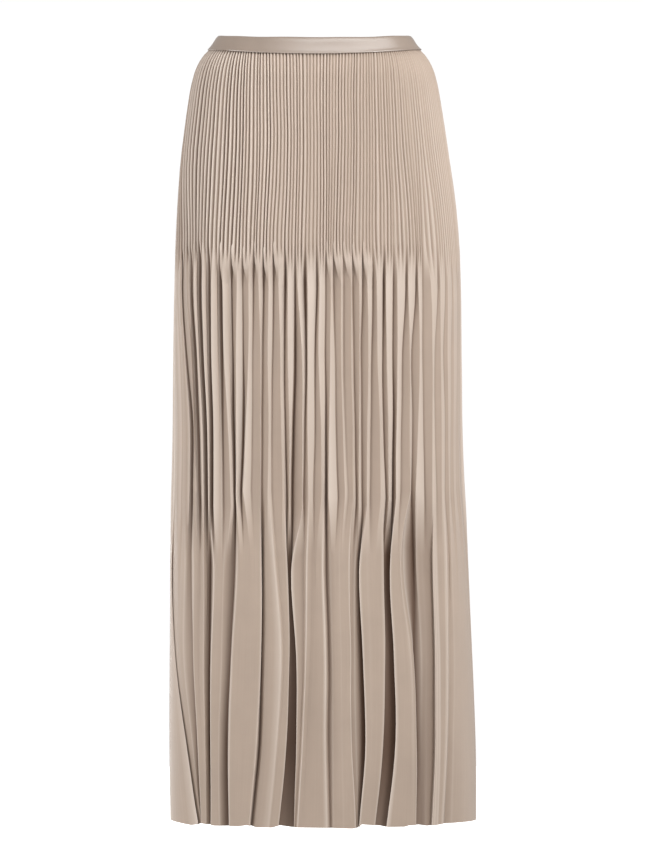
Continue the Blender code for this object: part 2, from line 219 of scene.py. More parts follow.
# Creases of the wide folds of the front: place in medium pleats from the left seam, place along
# X in mm at the four wide depths, how far the cloth lies in there in mm, high up and at the hem,
# and how light it is there if it catches more light than its form says
FRONT_CREASES = (
    (0.8, -171, -167, -153, -139, 0.6, 0.2),
    (1.0, -170, -168, -155, -141, 2.0, 5.0),
    (1.6, -165, -164, -149, -136, 1.0, 3.0),
    (2.5, -155, -157, -146, -136, 0.6, 2.6),
    (3.0, -148, -145, -138, -134, 5.0, 9.0),
    (3.3, -146, -146, -140, -136, 0.4, 0.3),
    (4.0, -137, -139, -135, -133, 2.2, 0.8),
    (4.5, -133, -133, -131, -130, 0.6, 0.9),
    (5.6, -124, -125, -125, -124, 8.0, 8.0),
    (5.9, -122, -124, -125, -125, 0.3, 0.3),
    (7.2, -108, -112, -115, -114, 1.2, 1.6),
    (8.0, -95, -101, -104, -103, 6.5, 9.5),
    (8.3, -93, -100, -103, -103, 0.3, 0.3),
    (9.5, -80, -82, -86, -89, 1.0, 0.6),
    (10.6, -64, -64, -70, -78, 0.2, 0.3),
    (11.0, -63, -64, -67, -76, 7.0, 7.5),
    (11.4, -60, -60, -63, -73, 2.6, 3.4),
    (11.7, -49, -40, -46, -55, -0.9, 0.2),
    (12.0, -46, -37, -43, -52, 1.2, 0.6),
    (12.7, -33, -30, -34, -43, 0.5, 0.3),
    (13.1, -34, -32, -35, -43, 6.0, 7.0),
    (14.0, -27, -20, -19, -23, 8.0, 12.0),
    (14.3, -27, -22, -22, -25, 0.8, 0.8),
    (14.9, -13, -13, -17, -23, 3.2, 2.2),
    (15.3, -9, -11, -15, -21, 0.0, 0.0, 1.0),
    (15.8, -3, -5, -10, -15, 2.6, 1.8),
    (16.8, 10, 13, 13, 15, 0.8, 1.4),
    (17.0, 14, 17, 17, 19, 6.0, 5.5),
    (17.4, 18, 21, 22, 22, 2.8, 2.4),
    (18.4, 30, 32, 33, 35, 0.0, 0.8, 0.1),
    (19.6, 42, 44, 45, 50, 0.2, 0.1, 1.0),
    (19.8, 43, 43, 44, 49, 2.6, 3.0),
    (20.3, 49, 48, 50, 52, 2.6, 3.6),
    (21.0, 55, 59, 63, 55, 9.0, 10.5),
    (21.3, 54, 58, 61, 53, 0.4, 0.3),
    (21.8, 63, 67, 68, 62, -0.4, 0.5),
    (22.6, 83, 85, 82, 73, 0.3, 0.3),
    (23.0, 81, 83, 80, 72, 6.0, 7.0),
    (24.0, 93, 98, 98, 88, 8.0, 9.5),
    (24.3, 91, 95, 97, 86, 0.4, 0.3, 1.0),
    (25.2, 104, 116, 119, 119, -0.5, 0.1),
    (25.7, 107, 119, 123, 122, 3.5, 0.2, 0.8),
    (26.0, 119, 118, 122, 121, 7.5, 6.5),
    (26.4, 122, 128, 128, 128, 3.2, 6.5),
    (26.8, 129, 134, 134, 133, 3.4, 5.0),
    (27.3, 140, 143, 143, 139, 4.6, 5.0),
    (27.5, 142, 145, 145, 141, 0.0, 0.0, 1.0),
    (27.7, 144, 147, 147, 144, 0.2, 0.2, 0.6),
    (27.9, 146, 150, 150, 148, 1.2, 0.4, 0.6),
    (28.4, 157, 159, 157, 153, 0.2, 0.3, 0.45),
    (28.6, 158, 160, 158, 154, 0.2, 0.4, 0.9),
    (29.0, 161, 162, 160, 156, 2.0, 4.0),
    (29.5, 164, 168, 166, 164, 0.4, 1.4),
    (30.5, 173, 177, 179, 179, 1.2, 0.6),
)

# Shallow creases of the medium pleats beside the left and the right seam: column from the seam,
# share of the way from the seam to the first valley or from the last valley to the seam, sink,
# how much painted shade and how much painted highlight
LEFT_CREASES = ((5, 0.28, 0.0035, 0.3, 0), (7, 0.37, 0.0004, 0, 0.6),
                (11, 0.64, 0.0035, 0.3, 0), (13, 0.73, 0.0004, 0, 0.6))
RIGHT_CREASES = ((-15, 0.5, 0.003, 0.3, 0), (-11, 0.7, 0.0004, 0, 0.6))

# Folds beside the right side seam, which the photo hides, of the front and of the back: share of
# the way, how far the cloth lies in there and the depth at which they start, in metres
SIDE_FOLDS = {
    1: ((0.958, 0.0022, 0.30), (0.985, 0.0014, 0.30)),
    -1: ((0.868, 0.0035, 0.60), (0.900, 0.0060, 0.57), (0.930, 0.0030, 0.30),
         (0.958, 0.0055, 0.33), (0.985, 0.0020, 0.30)),
}
SIDE_FOLD_SIDES = (0.004, 0.022)  # shares of the way that such a fold's two sides take
SIDE_FOLD_FULL = (0.006, 0.004)  # sink at which its painted shade is darkest, and the painted highlight on its edge lightest
SIDE_FOLD_RUN = 0.10  # height over which it grows

# Section of the folded satin, from the outer face's lower edge over the top to the inner one:
# share of the band's height above the seam, and how far outside the oval, in mm
BAND_SECTION = (
    (0.03, -0.3), (-0.02, 0.1), (-0.045, 0.7), (-0.02, 1.3), (0.04, 1.5), (0.09, 1.25),
    (0.20, 1.45), (0.35, 1.7), (0.50, 1.8), (0.65, 1.7), (0.78, 1.4), (0.88, 1.0), (0.95, 0.5),
    (0.99, -0.1), (1.00, -0.8), (0.98, -1.5), (0.93, -2.1), (0.80, -2.5), (0.55, -2.7),
    (0.30, -2.8), (0.06, -2.8),
)
BAND_COLUMNS = 360
BAND_RIPPLE = 0.00025  # how far its top edge rises and falls
BAND_SWELL = 0.00012  # how far its face swells out and in
BAND_CUT = (0.61, 0.042)  # flat size of the satin, unstretched

# The studio's soft lights: azimuth, distance, height, height that it faces, size and power
LIGHTS = {
    "key_light": (52, 2.2, 0.6, -0.3, (1.2, 0.8), 32),
    "top_light": (33, 1.6, 1.9, -0.05, (3.6, 0.9), 32),
    "front_light": (0, 2.4, -0.1, -0.4, (1.2, 0.8), 12),
    "left_light": (-70, 2.4, 0.3, -0.2, (1.2, 0.8), 24),
    "low_light": (-60, 2.2, -1.0, -0.85, (1.4, 0.5), 10),
    "side_light": (-115, 2.6, -0.45, -0.45, (1.2, 1.5), 14),
    "right_light": (115, 2.6, -0.45, -0.45, (1.2, 1.5), 14),
    "back_light": (-150, 2.6, -0.45, -0.45, (1.2, 1.5), 18),
}
FLOOR_HEIGHT = -1.06
ROOM_LIGHT, ROOM_SEEN = 0.42, 0.60  # strength of the surroundings, and how much more they show

# ---------------- settings

class SkirtSizes(bpy.types.PropertyGroup):
    """Sizes of the cloth that a user would change."""

    cloth_thickness: bpy.props.FloatProperty(
        name="Jersey thickness", description="Thickness of the pleated jersey",
        default=0.0008, min=0.0004, max=0.0014, unit="LENGTH")
    fine_relief: bpy.props.FloatProperty(
        name="Fine relief", description="Depth of the fine pleats' valleys",
        default=0.0026, min=0.0, max=0.004, unit="LENGTH")
    residue: bpy.props.FloatProperty(
        name="Fading creases", description="Depth of the creases left at the top of a wide fold",
        default=0.0011, min=0.0, max=0.003, unit="LENGTH")
    unevenness: bpy.props.FloatProperty(
        name="Unevenness", description="How far the pleats wander from their even places",
        default=0.0004, min=0.0, max=0.002, unit="LENGTH")
    satin_thickness: bpy.props.FloatProperty(
        name="Satin thickness", description="Thickness of the folded satin",
        default=0.0004, min=0.0002, max=0.001, unit="LENGTH")


class SkirtColours(bpy.types.PropertyGroup):
    """Colours that a user would change."""

    jersey: bpy.props.FloatVectorProperty(
        name="Jersey", description="Colour of the jersey's flat faces", subtype="COLOR",
        size=3, default=(0.42, 0.325, 0.258), min=0.0, max=1.0)
    # Painted highlight: the jersey is lightened towards this colour along its crests and lit facets
    jersey_painted_highlight: bpy.props.FloatVectorProperty(
        name="Pressed edges", description="Colour of the jersey along its pressed edges",
        subtype="COLOR", size=3, default=(0.72, 0.62, 0.54), min=0.0, max=1.0)
    # Painted shade: the jersey is darkened towards this colour deep in its valleys
    jersey_painted_shade: bpy.props.FloatVectorProperty(
        name="Valleys", description="Colour of the jersey deep between its folds",
        subtype="COLOR", size=3, default=(0.085, 0.040, 0.020), min=0.0, max=1.0)
    satin: bpy.props.FloatVectorProperty(
        name="Satin", description="Colour of the satin band", subtype="COLOR",
        size=3, default=(0.278, 0.207, 0.159), min=0.0, max=1.0)
    floor: bpy.props.FloatVectorProperty(
        name="Floor", description="Colour of the studio floor", subtype="COLOR",
        size=3, default=(0.90, 0.90, 0.90), min=0.0, max=1.0)


# ---------------- the body's outline

def outline_at(depth):
    """Half width, half depth and middle along X of the oval at a depth."""
    depths, *lines = OUTLINE.T
    half_width, ratio, middle = (smooth_interp(depth, depths, line) for line in lines)
    return half_width, half_width * ratio, middle


def smooth_interp(value, places, line):
    """A value read off a smooth curve through the points of a line."""
    slopes = np.gradient(line, places)
    at = int(np.clip(np.searchsorted(places, value) - 1, 0, len(places) - 2))
    span = places[at + 1] - places[at]
    way = np.clip((value - places[at]) / span, 0, 1)
    rest = 1 - way
    start = line[at] * (1 + 2 * way) + slopes[at] * span * way
    end = line[at + 1] * (1 + 2 * rest) - slopes[at + 1] * span * rest
    return start * rest ** 2 + end * way ** 2


def half_oval(depth, facing=1):
    """Points from -X over -Y to +X, their outward directions and their shares of the way."""
    half_width, half_depth, middle = outline_at(depth)
    angles = np.linspace(0, pi, OVAL_STEPS + 1)
    power = 2 / OVAL_POWER
    across = -np.sign(np.cos(angles)) * np.abs(np.cos(angles)) ** power
    points = np.column_stack([half_width * across, -half_depth * np.sin(angles) ** power])
    tangents = np.gradient(points, axis=0)
    tangents[0] = (0, -1)
    tangents[-1] = (0, 1)
    tangents /= np.hypot(*tangents.T)[:, None]
    normals = np.column_stack([tangents[:, 1], -tangents[:, 0]])
    steps = np.hypot(*np.diff(points, axis=0).T)
    way = np.concatenate([[0], np.cumsum(steps)])
    points[:, 0] += middle * facing
    return points, normals, way / way[-1]


def share_at(x, sink, depth):
    """Share of the way along the front at which a point that lies in by `sink` is seen at x, in
    mm."""
    points, normals, shares = half_oval(depth)
    seen = points - normals * sink
    nearer = CAMERA_DISTANCE / (CAMERA_DISTANCE + seen[:, 1])
    return np.interp(x / 1000, CAMERA_X + (seen[:, 0] - CAMERA_X) * nearer, shares)


def pleat_places(places):
    """Even places of pleats, from 0 to 1 along a panel, moved to where they lie."""
    crowded = CROWDING * np.sin(2 * pi * places) / (2 * pi)
    return places + crowded + SKEW * np.sin(pi * places) ** 2 / pi


# ---------------- levels of a panel

def fine_valleys(single):
    """Columns of the fine pleats' valleys. The medium pleats in `single` come from one each."""
    found = []
    for pleat in range(PLEATS):
        parts = 1 if pleat in single else FINE_PER_PLEAT
        found += [pleat * PLEAT_COLUMNS + PLEAT_COLUMNS * part // parts for part in range(parts)]
    return np.array(found + [COLUMNS])


def fine_level(places, reliefs, valleys, darker):
    """Fields of all columns where the pleats are fine: shares, sinks, the painted shade of each
    valley and the painted highlight of each edge. `places` are the shares of the fine valleys,
    `reliefs` their depths and `valleys` their columns. `darker` tells how much painted shade the
    cloth gets at the left seam."""
    shares = np.interp(ALL_COLUMNS, valleys, places)
    reliefs = np.interp(ALL_COLUMNS, valleys, reliefs)
    sinks = reliefs * fine_shape(valleys)
    lights = lightness(sinks) * np.clip(reliefs / USUAL_RELIEF - 0.3, 0.2, 1)
    # Painted shade at the left seam: darker flanks of the fine pleats, and a least shade all over
    flanks, seam = (amount * darker * fall(shares, start, run)
                    for amount, start, run in (PAINTED_FLANK_SHADE, PAINTED_SEAM_SHADE))
    shades = np.clip(sinks / FULL_SHADE[0], 0, 1) ** (SHADE_POWER[0] - flanks)
    return np.array([shares, sinks, np.maximum(shades, seam), lights])


def fine_shape(valleys):
    """Share of the relief at every column."""
    phases = np.interp(ALL_COLUMNS, valleys, np.arange(len(valleys))) % 1
    return np.interp(phases, *FINE_SHAPE)


def lightness(sinks):
    """How much each column is an edge that stands out from its neighbours: the mask of its painted
    highlight.
    """
    near = np.pad(sinks, 2, mode="edge")
    return np.clip(((near[:-4] + near[4:]) / 2 - sinks) / EDGE_RISE, 0, 1)


def crest_columns():
    """Column of each medium pleat's crest, from its valley, chosen so that columns lie evenly."""
    places = [share_at(row[0][0], FACET_SINKS[0], MEDIUM_DEPTHS[0]) for row in FRONT_PLEATS]
    found = [CREST_COLUMNS[0]]
    for row, valley, after in zip(FRONT_PLEATS, places, places[1:] + [1.0]):
        crest = share_at(row[1][0], CREST_SINK, MEDIUM_DEPTHS[0])
        part = (crest - valley) / max(after - valley, 1e-4)
        found.append(int(np.clip(part * PLEAT_COLUMNS, *CREST_COLUMNS)))
    return found + [CREST_COLUMNS[0]] * (PLEATS - len(found))


def medium_level(level, crests):
    """Fields where the pleats are medium: a zigzag of flat facets, with a tight crease at the
    foot of each valley where the cloth is folded in."""
    depth = MEDIUM_DEPTHS[level]
    length = way_round(depth)
    edge = EDGE_WIDTH / length
    first = share_at(FRONT_PLEATS[0][0][level], 0, depth)
    last = share_at(FRONT_PLEATS[-1][0][level], 0, depth)
    keys = [(0, 0.0, SEAM_SINK, 0, 0)]
    keys += [(column, first * part, *values) for column, part, *values in LEFT_CREASES]
    for pleat, (valleys, tops, reliefs) in enumerate(FRONT_PLEATS, 1):
        sink = reliefs[level] / 1000
        foot = min(FACET_SINKS[level], 0.8 * sink)
        strength = min(1.0, sink / FULL_STRENGTH)
        wider = 1 + max(0.0, sink - DEEP_VALLEY) / 0.003
        wider *= 1.4 if valleys[0] < TUBES_END else 1.0
        crease = CREASE_WIDTH / 2 / length * wider
        column = pleat * PLEAT_COLUMNS
        valley = share_at(valleys[level], foot, depth)
        top = share_at(tops[level], CREST_SINK, depth)
        # Painted shade at the crease and the facets' feet, and painted highlight on the crest and
        # the right facet
        keys += [
            (column - 2, valley - crease * 1.8, foot * 0.92, 0.1 * strength, strength),
            (column - 1, valley - crease, foot, 0.75 * strength, 0),
            (column, valley, sink, strength, 0),
            (column + 1, valley + crease, foot, 0.75 * strength, 0),
            (column + 2, valley + crease + (top - valley) * 0.12, foot * 0.85, 0.38 * strength, 0),
            (column + crests[pleat] - 1, top - edge, CREST_SINK + 0.0003, 0.14, 0),
            (column + crests[pleat], top, CREST_SINK, 0, 0.85 * strength),
        ]
        # Tubes get a rounder right side with a faint painted highlight
        if valleys[0] < TUBES_END:
            after = share_at(FRONT_PLEATS[pleat][0][level], foot, depth)
            round_side = top + (after - top) * 0.68
            keys.append((column + 12, round_side, CREST_SINK + foot * 0.16, 0, 0.25))
    for column, part, *values in RIGHT_CREASES:
        keys.append((COLUMNS + column, last + (1 - last) * part, *values))
    return spread(keys + [(COLUMNS, 1.0, SEAM_SINK, 0, 0)])


def way_round(depth):
    """Length of a panel's way along the oval."""
    points = half_oval(depth)[0]
    return np.hypot(*np.diff(points, axis=0).T).sum()


def gathering(way, low, medium, crests):
    """Fields of a row where the fine pleats gather into medium ones. Beside each medium valley a
    narrow wedge opens and widens into its left facet, and the cloth right of the wedge turns
    from a flat tube into the right facet."""
    way = np.clip(way, 0, 1)
    calm = smoothstep(way)
    fade = fall(way, 0, 0.7)
    base = low[0] + (medium[0] - low[0]) * calm
    fields = np.array([base, low[1] * fade, low[2] * fade, low[3] * fade])
    shares, sinks, shades, lights = fields
    length = way_round(FINE_END)
    for pleat in range(PLEATS):
        column = pleat * PLEAT_COLUMNS
        after = column + PLEAT_COLUMNS
        state = way[column]
        plain = medium[1][column] < CLEAR_SINK or crests[pleat] < 6 or base[column] < 0.22
        if plain or pleat == PLEATS - 1:
            fields[:, column:after] = (low + (medium - low) * calm)[:, column:after]
            continue
        # The wedge: its right wall moves from the valley to the medium crest
        begins = rise(state, 0, 0.45)
        facet = medium[0][column + crests[pleat]] - medium[0][column]
        wall = base[column] + max(facet * state ** 2.0, WEDGE_START * begins / length)
        steps = np.interp(wall, base[column:after + 1], np.arange(PLEAT_COLUMNS + 1))
        start = column + int(np.clip(round(steps), 2, crests[pleat]))
        if begins > 0:
            shares[start - 1] = max(wall - EDGE_WIDTH / length, (base[column] + wall) / 2)
            shares[start] = wall
            near = medium[0][column + 1] - medium[0][column] + base[column]
            near = min(near, (base[column] + shares[start - 1]) / 2)
            shares[column + 1:start] = np.linspace(near, shares[start - 1], start - column - 1)
        # Inside it the cloth slopes up from the valley's foot, with painted shade while it is
        # narrow
        inner = slice(column + 1, start)
        across = np.linspace(0, 1, max(start - column - 1, 1))
        foot = medium[1][column + 1] * begins * (1 + 0.2 * bump(state, 0.6, 0.25))
        flat = 0.9 * fall(state, 0.5, 0.5) + 0.1
        sinks[inner] = np.maximum(sinks[inner], foot * (1 - across * (1 - flat)))
        dark = begins * fall(state, 0.5, 0.5) * min(1.0, foot / 0.004) ** 2 * 0.55
        shades[inner] = np.maximum(shades[inner], dark * (1 - 0.3 * across))
        shades[inner] = np.maximum(shades[inner], medium[2][inner] * calm[column])
        sinks[column] = max(sinks[column], medium[1][column] * begins)
        shades[column] = max(shades[column], medium[2][column] * begins)
        # Right of it the cloth starts as a flat tube that falls late, with a painted highlight on
        # its shoulder
        rest = slice(start, after)
        across = (shares[rest] - shares[start]) / max(base[after] - shares[start], 1e-6)
        power = 1 + 7 * fall(way[rest], 0.35, 0.65)
        foot = medium[1][after - 1] * rise(way[rest], 0, 0.55)
        sinks[rest] += np.clip(across, 0, 1) ** power * foot - 0.0008 * bump(way[rest], 0.5, 0.22)
        shades[rest] = np.maximum(shades[rest], medium[2][rest] * calm[rest])
        shoulder = 0.5 * bump(way[rest], 0.45, 0.25)
        lights[rest] = np.maximum(np.maximum(lights[rest], shoulder), medium[3][rest] * calm[rest])
    fields[:, -1] = (low + (medium - low) * calm)[:, -1]
    return fields


def wide_level(level):
    """Fields where the folds are wide and flat."""
    depth = WIDE_DEPTHS[level]
    lower = np.clip((depth - WIDE_DEPTHS[1]) / (WIDE_DEPTHS[3] - WIDE_DEPTHS[1]), 0, 1)
    keys = [(0, 0.0, SEAM_SINK)]
    # Painted highlight on creases that catch more light than their form says
    catches = np.zeros(COLUMNS + 1)
    for place, *across, high, low, light in ((*crease, 0.0)[:8] for crease in FRONT_CREASES):
        column = round(place * PLEAT_COLUMNS)
        sink = (high + (low - high) * lower) / 1000
        keys.append((column, share_at(across[level], sink, depth), sink))
        catches[column] = light
    shares, sinks = spread(keys + [(COLUMNS, 1.0, SEAM_SINK)])
    # Painted shade in the valleys and painted highlight on the edges
    shades = WIDE_SHADES[level] * np.clip(sinks / FULL_SHADE[1], 0, 1) ** SHADE_POWER[1]
    lights = np.maximum(lightness(sinks), catches)
    lights = np.maximum(lights, 0.5 * np.maximum(np.roll(lights, 1), np.roll(lights, -1)))
    return np.array([shares, sinks, shades, lights])


def spread(keys):
    """Fields of all columns, in a straight line between the key ones."""
    columns, *fields = np.array(keys, float).T
    return np.array([np.interp(ALL_COLUMNS, columns, field) for field in fields])


def between(levels, depths):
    """Fields of a row whose columns lie at slightly different depths, from the levels' fields:
    smooth curves for the shares, with a break where the wide folds start, and straight lines for
    the others."""
    fields = levels[0][1].copy()
    slopes = np.gradient([level[1][0] for level in levels], [level[0] for level in levels], axis=0)
    for at, ((upper, above), (lower, below)) in enumerate(zip(levels, levels[1:])):
        way = np.clip((depths - upper) / (lower - upper), 0, 1)
        mixed = above + (below - above) * way
        straight = (below[0] - above[0]) / (lower - upper)
        start = straight if upper == MEDIUM_DEPTHS[-1] else slopes[at]
        end = straight if lower == MEDIUM_DEPTHS[-1] else slopes[at + 1]
        bend = (start - straight) * (1 - way) - (end - straight) * way
        mixed[0] += (lower - upper) * way * (1 - way) * bend
        fields = np.where(depths >= upper, mixed, fields)
    return fields


def smoothstep(value):
    """A smooth way from 0 to 1."""
    value = np.clip(value, 0, 1)
    return value * value * (3 - 2 * value)


def rise(value, start, run):
    """0 up to the start, smoothly growing to 1 over the run."""
    return smoothstep((value - start) / run)


def fall(value, start, run):
    """1 up to the start, smoothly falling to 0 over the run."""
    return 1 - rise(value, start, run)


def row_depths():
    """Depths of a panel's rows, closer together where the pleats change width."""
    parts = (
        (FINE_TOP, BAND_EDGE, 1), (BAND_EDGE, 0.070, 8), (0.070, 0.226, 7), (0.226, 0.306, 26),
        (0.306, 0.505, 11), (0.505, 0.640, 14), (0.640, WIDE_DEPTHS[-1], 15),
    )
    depths = [np.linspace(start, end, steps, endpoint=False) for start, end, steps in parts]
    return np.concatenate(depths + [[WIDE_DEPTHS[-1]]])


def panel_levels(random, sizes, contrast, straight):
    """The depths and fields of all levels, the columns of the fine valleys and of the crests.
    `straight` tells how much the first pleats keep to their even places, and what is left of it how
    much painted shade the cloth gets at the left seam."""
    crests = crest_columns()
    medium = [medium_level(level, crests) for level in range(len(MEDIUM_DEPTHS))]
    wide = [wide_level(level) for level in range(len(WIDE_DEPTHS))]
    kept = straight * fall(ALL_COLUMNS / PLEAT_COLUMNS, 5, 5)
    for fields in medium + wide:
        fields[0] += (pleat_places(ALL_COLUMNS / COLUMNS) - fields[0]) * kept
    fine = fine_valleys(() if straight else SINGLE_PLEATS)
    uneven = sizes.fine_relief * random.uniform(*FINE_DEPTHS, len(fine))
    uneven *= np.interp(fine / COLUMNS, *contrast)
    uneven[[0, -1]] = SEAM_SINK
    wander = random.normal(0, FINE_WANDER, len(fine))
    wander[[0, -1]] = 0
    even = pleat_places(PLEAT_ENDS / PLEATS)
    even[:8] += (np.interp(PLEAT_ENDS[:8], *FIRST_PLACES) - even[:8]) * (1 - straight)
    even, gathered = (np.interp(fine / PLEAT_COLUMNS, PLEAT_ENDS, places) + wander
                      for places in (even, medium[0][0][::PLEAT_COLUMNS]))
    levels = []
    for depth in TOP_DEPTHS:
        flatter = 1 - 0.6 * rise(fine / COLUMNS, 0.6, 0.25) * (1 - depth / TOP_DEPTHS[-1])
        places = crowded_aside(even, depth)
        levels.append((depth, fine_level(places, uneven * flatter, fine, 1 - straight)))
    for depth, places in ((SPREAD_TO, even), (FINE_END, gathered)):
        levels.append((depth, fine_level(places, uneven, fine, 1 - straight)))
    levels += [*zip(MEDIUM_DEPTHS, medium), *zip(WIDE_DEPTHS, wide)]
    return levels, fine, crests


def panel_grid(facing, sizes):
    """Points of a panel's outer face, rows by columns, with the painted highlight of each as an
    edge and the painted shade of each as a valley. The back, which the photo hides, has the front's
    pleats the other way round, with its own unevenness."""
    front = facing > 0
    random = np.random.default_rng(11 if front else 12)
    kind = (FINE_CONTRAST, 0.0) if front else (BACK_CONTRAST, BACK_STRAIGHT)
    levels, fine, crests = panel_levels(random, sizes, *kind)
    fields_at = dict(levels)
    inner = np.sin(pi * ALL_COLUMNS / COLUMNS) ** 0.5
    first, second = (along(random.normal(0, reach, PLEATS + 1)) for reach in UP_AND_DOWN)
    if front:
        first += np.interp(ALL_COLUMNS / PLEAT_COLUMNS, *FIRST_EARLIER)
    phases = random.uniform(0, 2 * pi, (4, PLEATS + 1))
    phases[3] *= 0.3
    ridges = np.concatenate([[0, crest] for crest in crests]).astype(float)
    ridges += np.repeat(np.arange(PLEATS), 2) * PLEAT_COLUMNS
    zigzag = np.interp(ALL_COLUMNS, ridges, np.tile([1.0, 0.0], PLEATS))
    hem = along(np.pad(random.normal(*BACK_HEM, PLEATS - 1), 1))
    hidden = 1.0 if front else along(random.uniform(*BACK_DEPTHS, PLEATS + 1))
    rows, edges, valleys = [], [], []
    for depth in row_depths():
        moved = depth + first * bump(depth, *GATHERS_NEAR) + second * bump(depth, *FOLDS_NEAR)
        fields = between(levels, moved)
        way = (moved - FINE_END) / (MEDIUM_DEPTHS[0] - FINE_END)
        gathers = (way > 0) & (way < 1)
        if gathers.any():
            gathered = gathering(way, fields_at[FINE_END], fields_at[MEDIUM_DEPTHS[0]], crests)
            fields = np.where(gathers, gathered, fields)
        share, sink, shade, light = side_folds(fields, moved, facing)
        left_over = rise(moved, *LEFT_OVER_FROM) * fall(moved, *LEFT_OVER_TO)
        sink = sink * hidden + sizes.residue * left_over * (zigzag - 0.5)
        pinch = np.exp(-np.clip(depth - PINCH_TO, 0, 1) / PINCH_FADES)
        sink = sink + PINCH * pinch
        # Painted shade in the fine valleys just under the band
        if depth < PINCH_SHADED_TO:
            shade = np.clip(shade + 0.6 * fine_shape(fine) * pinch, 0, 1)
        wave, ripple, slow, drift = (
            along(np.sin(depth * rate + phase)) for rate, phase in zip(WAVE_RATES, phases))
        wave += 0.6 * ripple
        if not front:
            wave += 6 * drift * rise(depth, 0, 0.4)
        share = share + sizes.unevenness * 1.1 * wave * inner
        sink = sink + sizes.unevenness * slow * inner * (1 + 1.2 * rise(depth, 0.5, 0.15))
        if not front:
            share, sink, shade, light = 1 - share[::-1], sink[::-1], shade[::-1], light[::-1]
        rows.append(hung_row(share, sink, hem, depth, facing))
        edges.append(np.pad(light, 1, mode="edge"))
        valleys.append(np.pad(shade, 1, mode="edge"))
    return np.array(rows), np.array(edges), np.array(valleys)


def along(values):
    """Numbers of all columns from one for each end of a medium pleat."""
    return np.interp(ALL_COLUMNS / PLEAT_COLUMNS, PLEAT_ENDS, values)


def side_folds(fields, depths, facing):
    """A row's fields with the folds beside the right side seam, their painted shade and the painted
    highlight on their edges.
    """
    share, sink, shade, light = fields
    steep, shallow = SIDE_FOLD_SIDES
    dark_at, light_at = SIDE_FOLD_FULL
    for place, size, start in SIDE_FOLDS[facing]:
        across = share - place
        size = size * rise(depths, start, SIDE_FOLD_RUN)
        fold = size * np.clip(np.minimum(1 + across / steep, 1 - across / shallow), 0, 1)
        sink = sink + fold
        shade = np.maximum(shade, np.clip(fold / dark_at, 0, 1) ** SHADE_POWER[1])
        light = np.maximum(light, np.clip(size / light_at, 0, 1) * bump(across, -0.005, 0.0015))
    return share, sink, shade, light


def hung_row(share, sink, hem, depth, facing):
    """Points of a row, hung at its depth, with its two ends turned in at the side seams. `hem`
    lowers the back's edge at the bottom, and FRONT_HEM the front's."""
    points, normals, shares = half_oval(depth, facing)
    line = np.column_stack([np.interp(share, shares, points[:, axis]) for axis in (0, 1)])
    out = np.column_stack([np.interp(share, shares, normals[:, axis]) for axis in (0, 1)])
    frontness = np.clip(-line[:, 1] / outline_at(depth)[1], 0, 1)
    dip = WAIST_DIP[facing] + BAND_HEIGHT[facing] - BAND_HEIGHT_SIDE
    faded = np.clip(1 - (depth - BAND_EDGE) / DIP_ENDS_AT, 0, 1)
    if facing > 0:
        hem = -np.interp(1000 * line[:, 0], *FRONT_HEM) / 1000
    height = -depth - frontness ** 2 * dip * faded
    height = height + hem * rise(depth, HEM_FROM, HEM_RUN)
    line = soften(line - out * sink[:, None], SOFTENING[0 if depth < FINE_END else 1])
    rim = line[[0, -1]].copy()
    rim[:, 0] += (SEAM_ALLOWANCE, -SEAM_ALLOWANCE)
    line = np.vstack([rim[:1], line, rim[1:]])
    line[[0, 1, -2, -1], 1] = SEAM_LINE
    height = np.concatenate([height[:1], height, height[-1:]])
    return np.column_stack([line * facing, height])


def crowded_aside(places, depth):
    """Shares at a depth near the band of pleats with given shares further down. They hang
    straight down from the band at the middle and spread near the sides."""
    points, _, shares = half_oval(SPREAD_TO)
    low_width, _, middle = outline_at(SPREAD_TO)
    top_width, here = outline_at(SPREAD_FROM)[0], outline_at(depth)[0]
    low = np.interp(places, shares, points[:, 0]) - middle
    top = np.clip(low / low_width + TOP_SHIFT * np.sin(pi * low / low_width), -1, 1) * top_width
    seen = low + (top - low) * (low_width - here) / (low_width - top_width)
    points, _, shares = half_oval(depth)
    moved = np.interp(seen + outline_at(depth)[2], points[:, 0], shares)
    moved[[0, -1]] = (0, 1)
    return moved


def bump(value, middle, width):
    """1 at the middle, falling smoothly to 0 a few widths away."""
    return np.exp(-((value - middle) / width) ** 2)


def soften(line, share):
    """Rounds the corners of a row: each point takes a share of each neighbour."""
    inner = share * (line[:-2] + line[2:]) + (1 - 2 * share) * line[1:-1]
    return np.vstack([line[:1], inner, line[-1:]])


# ---------------- mesh helpers

def deselect():
    """Leaves nothing selected."""
    for thing in bpy.context.selected_objects:
        thing.select_set(False)


def make_active(piece):
    """Selects a piece alone."""
    deselect()
    piece.select_set(True)
    bpy.context.view_layer.objects.active = piece


